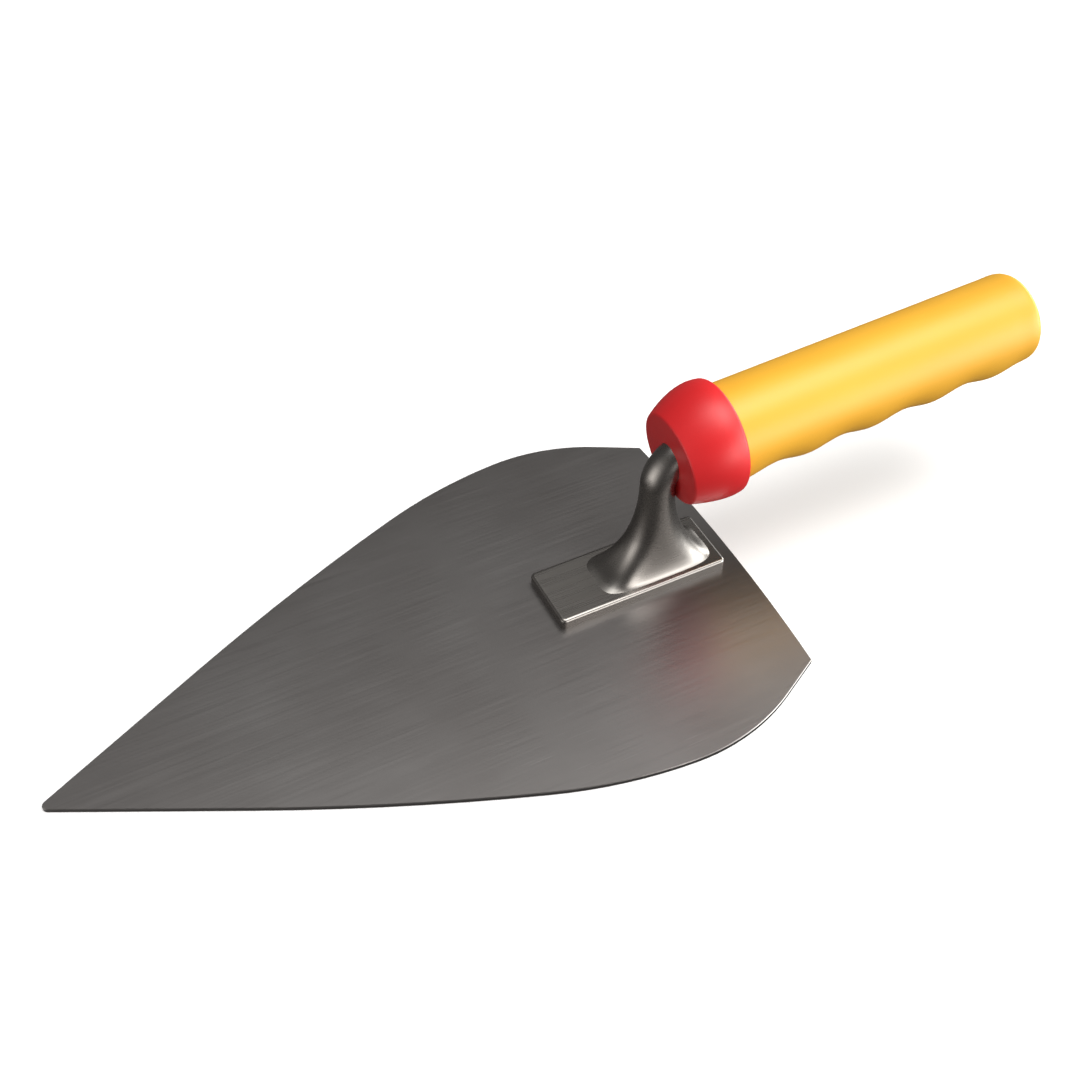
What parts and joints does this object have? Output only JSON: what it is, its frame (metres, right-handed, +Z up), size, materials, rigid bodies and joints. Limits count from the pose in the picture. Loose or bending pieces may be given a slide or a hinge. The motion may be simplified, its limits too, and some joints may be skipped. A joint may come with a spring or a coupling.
{
  "type": "brick trowel",
  "caption": "Hand trowel with a flat heart-shaped steel blade, a forged gooseneck tang welded on by a flat foot, and a moulded finger-grip handle with a round collar.",
  "frame": {"origin": "on the blade's flat underside (the working face), straight under the axis of the tang's upright neck", "axes": "toe of the blade towards -X, handle towards +X, +Z up away from the working face, X-Z is the handle's plane of symmetry"},
  "size_m": [0.3656, 0.1532, 0.0804],
  "materials": {
    "blade_steel": "satin ground steel, slightly darkened",
    "forged_steel": "forged, tumbled and polished, with a soft sheen",
    "weld_steel": "pressed flat by the electrode, slightly heat tinted",
    "core_plastic": "plain moulded, dark grey",
    "red_plastic": "satin moulded, red",
    "yellow_plastic": "satin moulded, warm yellow"
  },
  "bodies": {
    "root": {"blade": "blade_steel", "tang": "forged_steel", "spot_welds": "weld_steel", "handle_core": "core_plastic", "collar": "red_plastic", "grip": "yellow_plastic"}
  },
  "joints": []
}
